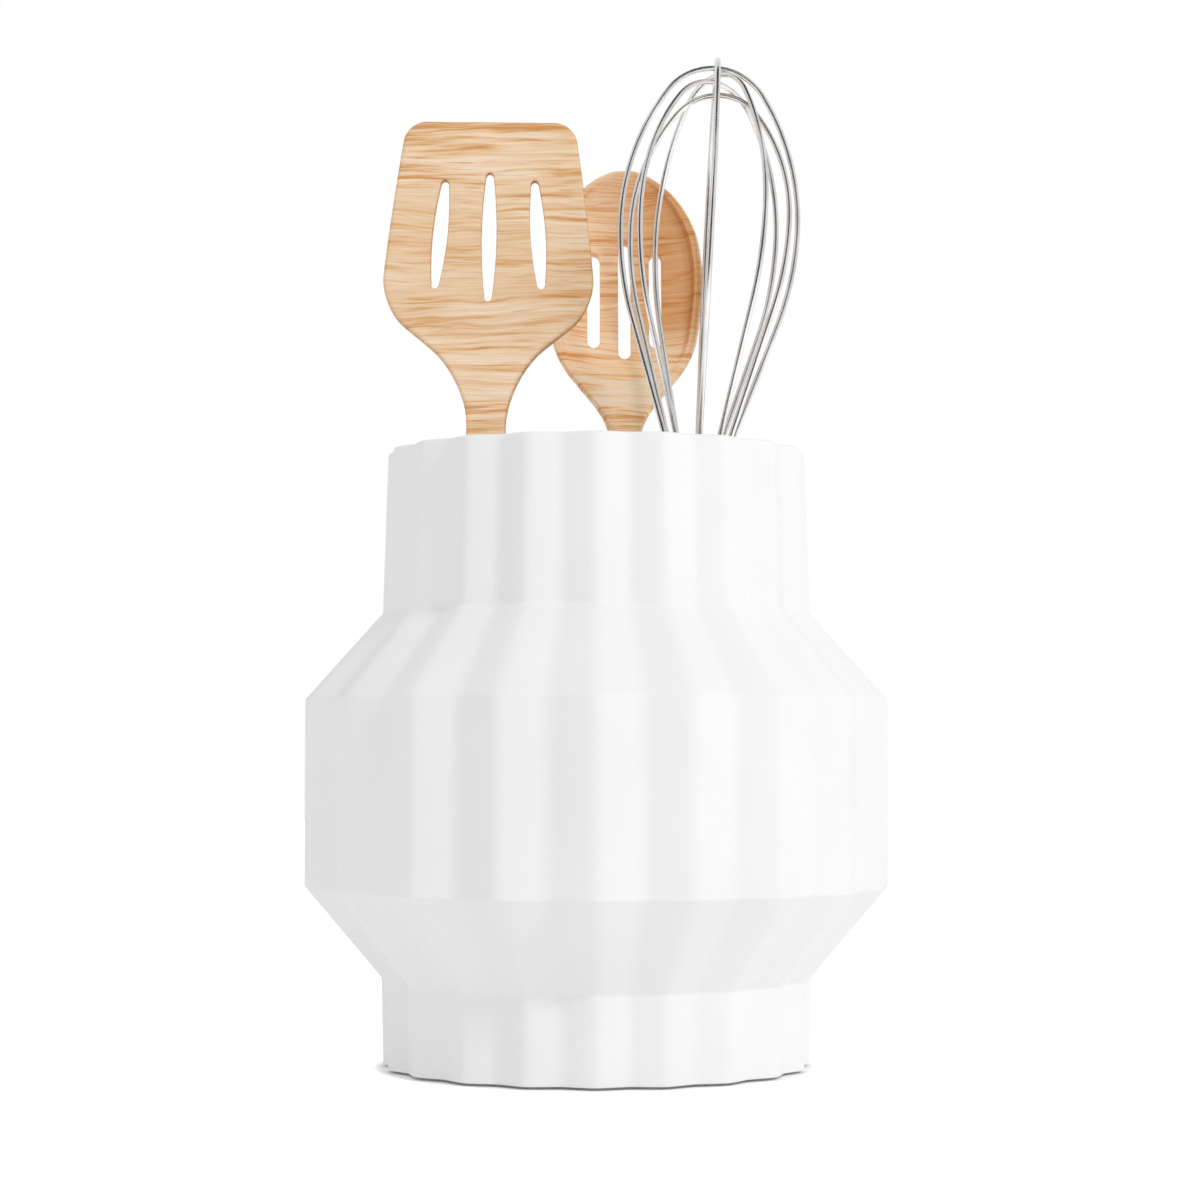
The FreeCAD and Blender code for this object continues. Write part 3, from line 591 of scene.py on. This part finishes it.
# The grid is 2 by 2 and starts out of the way, so that rows already in place are not picked again.
bpy.ops.transform.translate(value=(0, -GRID_AWAY, 0))
for row, (height, half, *_) in enumerate(SPOON_ROWS):
    start = 2 * row / (len(SPOON_ROWS) - 1) - 1 - GRID_AWAY
    for column, x in enumerate(spoon_columns(half / 1000)):
        first = 2 * column / (columns - 1)
        pick(spoon, lambda p: abs(p.y - start) < GRID_NEAR and abs(abs(p.x) - first) < GRID_NEAR)
        bpy.ops.transform.resize(value=(x / first if first else 1, 1, 1), center_override=(0, start, 0))
    pick(spoon, lambda p: abs(p.y - start) < GRID_NEAR)
    bpy.ops.transform.translate(value=(0, height / 1000 - start, 0))
bpy.ops.mesh.select_all(action="SELECT")
bpy.ops.mesh.extrude_region_move(TRANSFORM_OT_translate={"value": (0, 0, -SPOON_BLANK_DEPTH)})
for height, half, edge, middle, hollow in SPOON_ROWS:
    for x, share in zip(spoon_columns(half / 1000), SPOON_GOUGE):
        depth = (edge + (middle - edge) * (1 - (1000 * x / half) ** 2)) / 1000
        here = lambda p: abs(abs(p.x) - x) < NEAR and abs(p.y - height / 1000) < NEAR
        pick(spoon, lambda p: here(p) and p.z < -SPOON_BLANK_DEPTH / 2)
        bpy.ops.transform.translate(value=(0, 0, SPOON_BLANK_DEPTH - depth))
        if share * hollow:
            pick(spoon, lambda p: here(p) and p.z > -NEAR)
            bpy.ops.transform.translate(value=(0, 0, -share * hollow / 1000))
bpy.ops.mesh.select_all(action="SELECT")
bpy.ops.transform.translate(value=(0, 0, SPOON_FRONT))
bpy.ops.mesh.normals_make_consistent(inside=False)
bpy.ops.object.mode_set(mode="OBJECT")
bpy.ops.object.modifier_add(type="SUBSURF")
spoon.modifiers[-1].levels = spoon.modifiers[-1].render_levels = 2
bpy.ops.object.modifier_apply(modifier=spoon.modifiers[-1].name)
for x, y, length in SPOON_SLOTS:
    cut_slot(spoon, x, y, length, SPOON_SLOT_WIDTH, SPOON_SLOT_WIDTH, 0)
smooth_off(spoon)
# Painted shade: the colour darkens on the gouge's wall and, less, on the outer edges.
mark(spoon, "edge_painted_shade", spoon_edge_shade)
# Painted shade: the right of the bowl is darkened in the colour.
mark(spoon, "bowl_painted_shade", bowl_right_shade)
stand_in_crock(spoon, SPOON_FOOT, "spoon_lift", True)
oiled_beech(spoon, SPOON_GRAIN_TURN, SPOON_GRAIN_SHIFT, SPOON_PAINTED_LIGHT_GAIN)
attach(spoon, "spoon")
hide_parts("wooden_spoon")

# The whisk's wires: five loops of polished stainless wire, each bent round in one plane and turned about
# the handle, so that they cross at the tip one under another. Both ends of each loop sit in the plug.
WHISK_FOOT = Vector((0.0233, 0.014066, 0.0063))
WIRE_RADIUS = 0.0009
WIRE_SIDES = 20
WIRE_SEAT_RADIUS = 0.00485
WIRE_SEAT_DEPTH = 0.012
PLUG_TOP = 0.1664
BALLOON_WIDEST = 0.2624
WHISK_TIP = 0.3165
HALF_WIDTH = 0.0292
SPLAY_BEND = 0.04
SIDE_BEND = 0.104
TIP_BEND_SHARE = 0.65
CAGE_LEAN = radians(0.16)
WIRE_SMOOTH_ANGLE = radians(60)
SPLAY_STEPS, SIDE_STEPS, TOP_STEPS = 8, 10, 14
# Each loop: its turn in degrees, share of the width, drop at the tip in wire widths, and share of the seat's radius.
WIRE_LOOPS = [
    (90, 1, 0, 1), (-5, 0.99, 1.1, 1), (52, 0.945, 2.45, 1), (-36, 0.96, 3.85, 0.57), (18, 0.916, 6.15, 1)]


def bend(steps, angle, middle):
    """Bends the wire on from its end ring, round a point in XZ; a positive angle turns it inwards."""
    bpy.ops.mesh.spin(steps=steps, angle=angle, center=(middle[0], 0, middle[1]), axis=(0, 1, 0))


def finish_loop(wire):
    """Copies the half loop round its own middle line, joins the halves and closes the ends."""
    bpy.ops.mesh.select_all(action="SELECT")
    bpy.ops.mesh.duplicate()
    bpy.ops.transform.rotate(value=pi, orient_axis="Z", center_override=(0, 0, 0))
    bpy.ops.mesh.select_all(action="SELECT")
    bpy.ops.mesh.remove_doubles(threshold=NEAR)
    bpy.ops.mesh.normals_make_consistent(inside=False)
    bpy.ops.object.mode_set(mode="OBJECT")
    bpy.ops.object.shade_smooth_by_angle(angle=WIRE_SMOOTH_ANGLE)


def start_wire(name, radius, x, z):
    """Starts a wire with a closed round end at a place in XZ."""
    begin()
    bpy.ops.mesh.primitive_circle_add(vertices=WIRE_SIDES, radius=radius, fill_type="NGON")
    wire = bpy.context.object
    wire.name = name
    bpy.ops.object.mode_set(mode="EDIT")
    bpy.ops.mesh.select_all(action="SELECT")
    bpy.ops.transform.translate(value=(x, 0, z))
    return wire


# The marks of drawing and polishing, shared by all the whisk's steel: fine lines along the metal.
# They lie along the whisk's lean, and are counted per metre on X, Y and Z.
DRAWN_GRAINS = (5000, 5000, 60)
CLOUD_GRAINS = (160, 160, 90)
WHISK_LEAN = (radians(4.6), radians(-2.9), 0)
drawn = bpy.data.node_groups.new("drawing_lines", "ShaderNodeTree")
drawn.interface.new_socket("Vector", in_out="INPUT", socket_type="NodeSocketVector")
drawn.interface.new_socket("Lines", in_out="OUTPUT", socket_type="NodeSocketFloat")
drawn.interface.new_socket("Clouds", in_out="OUTPUT", socket_type="NodeSocketFloat")
nodes, links = drawn.nodes, drawn.links
place = nodes.new("NodeGroupInput").outputs["Vector"]
result = nodes.new("NodeGroupOutput")
links.new(noise(nodes, links, place, DRAWN_GRAINS, 2), result.inputs["Lines"])
links.new(noise(nodes, links, place, CLOUD_GRAINS, 3), result.inputs["Clouds"])


def drawn_steel(name, dark, pale, dull, bright, depth):
    """Stainless steel between two tones and two roughnesses, with drawing lines of some depth."""
    steel, nodes, links, shader = new_material(name)
    coords = nodes.new("ShaderNodeTexCoord")
    along = nodes.new("ShaderNodeMapping")
    along.inputs["Rotation"].default_value = WHISK_LEAN
    lines = nodes.new("ShaderNodeGroup")
    lines.node_tree = drawn
    links.new(coords.outputs["Object"], along.inputs["Vector"])
    links.new(along.outputs["Vector"], lines.inputs["Vector"])
    tone = ramp(nodes, links, lines.outputs["Clouds"], [(0.35, dark), (0.65, pale)])
    dulled = sums(nodes, links, "MULTIPLY_ADD", lines.outputs["Lines"], dull - bright, bright)
    links.new(tone, shader.inputs["Base Color"])
    links.new(dulled, shader.inputs["Roughness"])
    bump(nodes, links, shader, lines.outputs["Lines"], depth, 0.0001)
    shader.inputs["Metallic"].default_value = 1
    return steel


wire_steel = drawn_steel("polished_wire_steel", shade(204, 203, 201), shade(222, 221, 219), 0.26, 0.16, 0.01)
handle_steel = drawn_steel("brushed_handle_steel", shade(195, 194, 192), shade(203, 202, 200), 0.42, 0.28, 0.2)

for number, (turn, width_share, drop, seat_share) in enumerate(WIRE_LOOPS, 1):
    half = HALF_WIDTH * width_share
    seat = WIRE_SEAT_RADIUS * seat_share
    tip = WHISK_TIP - drop * 2 * WIRE_RADIUS
    rise = tip - BALLOON_WIDEST
    tip_bend = TIP_BEND_SHARE * half
    top_bend = (half ** 2 + rise ** 2 - 2 * rise * tip_bend) / (2 * (half - tip_bend))
    join = atan2(rise - tip_bend, top_bend - half)
    bends = SIDE_BEND + SPLAY_BEND
    across, up = bends - (half - seat), BALLOON_WIDEST - PLUG_TOP
    slope = atan2(up, across) - acos(bends / hypot(across, up))
    straight = sqrt(across ** 2 + up ** 2 - bends ** 2)
    wire = start_wire(f"whisk_loop_{number}", WIRE_RADIUS, seat, PLUG_TOP - WIRE_SEAT_DEPTH)
    bpy.ops.mesh.extrude_edges_move(TRANSFORM_OT_translate={"value": (0, 0, WIRE_SEAT_DEPTH)})
    bend(SPLAY_STEPS, -slope, (seat + SPLAY_BEND, PLUG_TOP))
    bpy.ops.mesh.extrude_edges_move(
        TRANSFORM_OT_translate={"value": (straight * sin(slope), 0, straight * cos(slope))})
    bend(SIDE_STEPS, slope, (half - SIDE_BEND, BALLOON_WIDEST))
    bend(TOP_STEPS, join, (half - top_bend, BALLOON_WIDEST))
    bend(TOP_STEPS, pi / 2 - join, (0, tip - tip_bend))
    finish_loop(wire)
    about_plug = Matrix.Translation((0, 0, PLUG_TOP)) @ Matrix.Rotation(CAGE_LEAN, 4, "Y")
    turned = Matrix.Translation((0, 0, -PLUG_TOP)) @ Matrix.Rotation(-radians(turn), 4, "Z")
    wire.matrix_world = about_plug @ turned
    bpy.ops.object.transform_apply(location=True, rotation=True, scale=True)
    stand_in_crock(wire, WHISK_FOOT, "whisk_lift", False)
    wire.data.materials.append(wire_steel)
    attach(wire, "whisk")
    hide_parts(f"whisk_wire_{number}")

# The whisk's hanging loop: one bent length of thicker stainless wire at the foot of the handle.
# Its two ends sit in the end cap. It stands on the crock's floor.
HANG_RADIUS = 0.0042
HANG_WIRE_RADIUS = 0.0012
HANG_TOP = 0.028
HANG_STEPS = 12
hang = start_wire("whisk_hanger", HANG_WIRE_RADIUS, HANG_RADIUS, HANG_TOP)
hang_low = HANG_RADIUS + HANG_WIRE_RADIUS
bpy.ops.mesh.extrude_edges_move(TRANSFORM_OT_translate={"value": (0, 0, hang_low - HANG_TOP)})
bend(HANG_STEPS, -pi / 2, (0, hang_low))
finish_loop(hang)
stand_in_crock(hang, WHISK_FOOT, "whisk_lift", False)
hang.data.materials.append(wire_steel)
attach(hang, "whisk")
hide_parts("whisk_hang_loop")

# The whisk's handle: a thin stainless tube, brushed along its length, with the wire plug pressed into its
# top and a cap into its foot. All three are turned or drawn parts, so their solids are kept as they are.
for name in ("whisk_wire_plug", "whisk_handle", "whisk_end_cap"):
    part = frame["nodes"][name]
    part.data.materials.clear()
    part.data.materials.append(handle_steel)

# The stage: a white floor that runs into a white background, as in a packshot. The floor shows white by
# itself a little way off from the crock's foot, and keeps the shadow under it.
FLOOR_SIZE = 6
FLOOR_GLOW = {"From Min": 0.066, "From Max": 0.0695, "To Min": 0.02, "To Max": 0.5}
begin()
bpy.ops.mesh.primitive_plane_add(size=FLOOR_SIZE)
floor = bpy.context.object
floor.name = "floor"
paper, nodes, links, shader = new_material("white_paper")
shader.inputs["Base Color"].default_value = (0.98, 0.98, 0.98, 1)
shader.inputs["Roughness"].default_value = 1
shader.inputs["Specular IOR Level"].default_value = 0
shader.inputs["Emission Color"].default_value = (1, 1, 1, 1)
path = nodes.new("ShaderNodeLightPath")
coords = nodes.new("ShaderNodeTexCoord")
away = nodes.new("ShaderNodeVectorMath")
away.operation = "LENGTH"
links.new(coords.outputs["Object"], away.inputs[0])
glow = nodes.new("ShaderNodeMapRange")
for name, value in FLOOR_GLOW.items():
    glow.inputs[name].default_value = value
links.new(away.outputs["Value"], glow.inputs["Value"])
seen = sums(nodes, links, "MAXIMUM", path.outputs["Is Camera Ray"], path.outputs["Is Glossy Ray"])
links.new(sums(nodes, links, "MULTIPLY", seen, glow.outputs["Result"]), shader.inputs["Emission Strength"])
floor.data.materials.append(paper)

# The room round the stage: pale all over, and plain white where the camera or the metal sees it.
ROOM_LEVEL = 0.765
world = bpy.data.worlds.new("pale_room")
bpy.context.scene.world = world
world.use_nodes = True
nodes, links = world.node_tree.nodes, world.node_tree.links
room = nodes["Background"]
room.inputs["Color"].default_value = (1, 1, 1, 1)
path = nodes.new("ShaderNodeLightPath")
seen = sums(nodes, links, "MAXIMUM", path.outputs["Is Camera Ray"], path.outputs["Is Glossy Ray"])
links.new(sums(nodes, links, "MULTIPLY_ADD", seen, 1 - ROOM_LEVEL, ROOM_LEVEL), room.inputs["Strength"])

# The lamp: a soft box to the right, as far in front as to the side, and well above.
# It is aimed at the crock's belly, and the metal doesn't show it.
LAMP_PLACE = Vector((1.534, -1.431, 1.5))
LAMP_AIM = Vector((0, 0, 0.12))
LAMP_SIZE = 0.5
LAMP_WATTS = 16.5
begin()
bpy.ops.object.light_add(type="AREA", location=LAMP_PLACE)
lamp = bpy.context.object
lamp.name = "soft_lamp"
lamp.data.size = LAMP_SIZE
lamp.visible_glossy = False
lamp.data.energy = LAMP_WATTS
lamp.rotation_euler = (LAMP_AIM - LAMP_PLACE).to_track_quat("-Z", "Y").to_euler()

# The dark screen: black cloth behind the camera, lower at its left corner, and a second sheet overhead.
# Only the polished metal shows it, as the line down each wire.
SCREEN_PLACE = (-0.9, -1.5, 0.6)
SCREEN_SIZE = 3
SCREEN_CORNER_ABOVE = 1
SCREEN_CORNER_DROP = 1.5
OVERHEAD_PLACE = (0, -0.5, 2.1)
OVERHEAD_SIZE = 2
begin()
bpy.ops.mesh.primitive_plane_add(size=1)
screen = bpy.context.object
screen.name = "dark_screen"
upright = Matrix.Rotation(pi / 2, 4, "X") @ Matrix.Diagonal((SCREEN_SIZE, SCREEN_SIZE, 1, 1))
screen.matrix_world = Matrix.Translation(SCREEN_PLACE) @ upright
bpy.ops.object.transform_apply(location=True, rotation=True, scale=True)
pick(screen, lambda p: p.z > SCREEN_CORNER_ABOVE and p.x < 0)
bpy.ops.transform.translate(value=(0, 0, -SCREEN_CORNER_DROP))
bpy.ops.mesh.primitive_plane_add(size=OVERHEAD_SIZE, location=OVERHEAD_PLACE)
bpy.ops.object.mode_set(mode="OBJECT")
cloth, nodes, links, shader = new_material("dark_cloth")
shader.inputs["Base Color"].default_value = (0.08, 0.08, 0.085, 1)
shader.inputs["Roughness"].default_value = 1
screen.data.materials.append(cloth)
screen.visible_camera = screen.visible_diffuse = screen.visible_shadow = False

# The camera stands level with the crock's belly, a little below the middle of the whole group,
# and looks up by three degrees.
CAMERA_PLACE = (0.00114, -0.8769, 0.0972)
CAMERA_TILT = radians(93.009)
LENS_MM, SENSOR_MM = 85, 36
bpy.ops.object.camera_add(location=CAMERA_PLACE, rotation=(CAMERA_TILT, 0, 0))
camera = bpy.context.object
camera.data.lens = LENS_MM
camera.data.sensor_width = SENSOR_MM
bpy.context.scene.camera = camera
bpy.context.scene.view_settings.view_transform = "Standard"
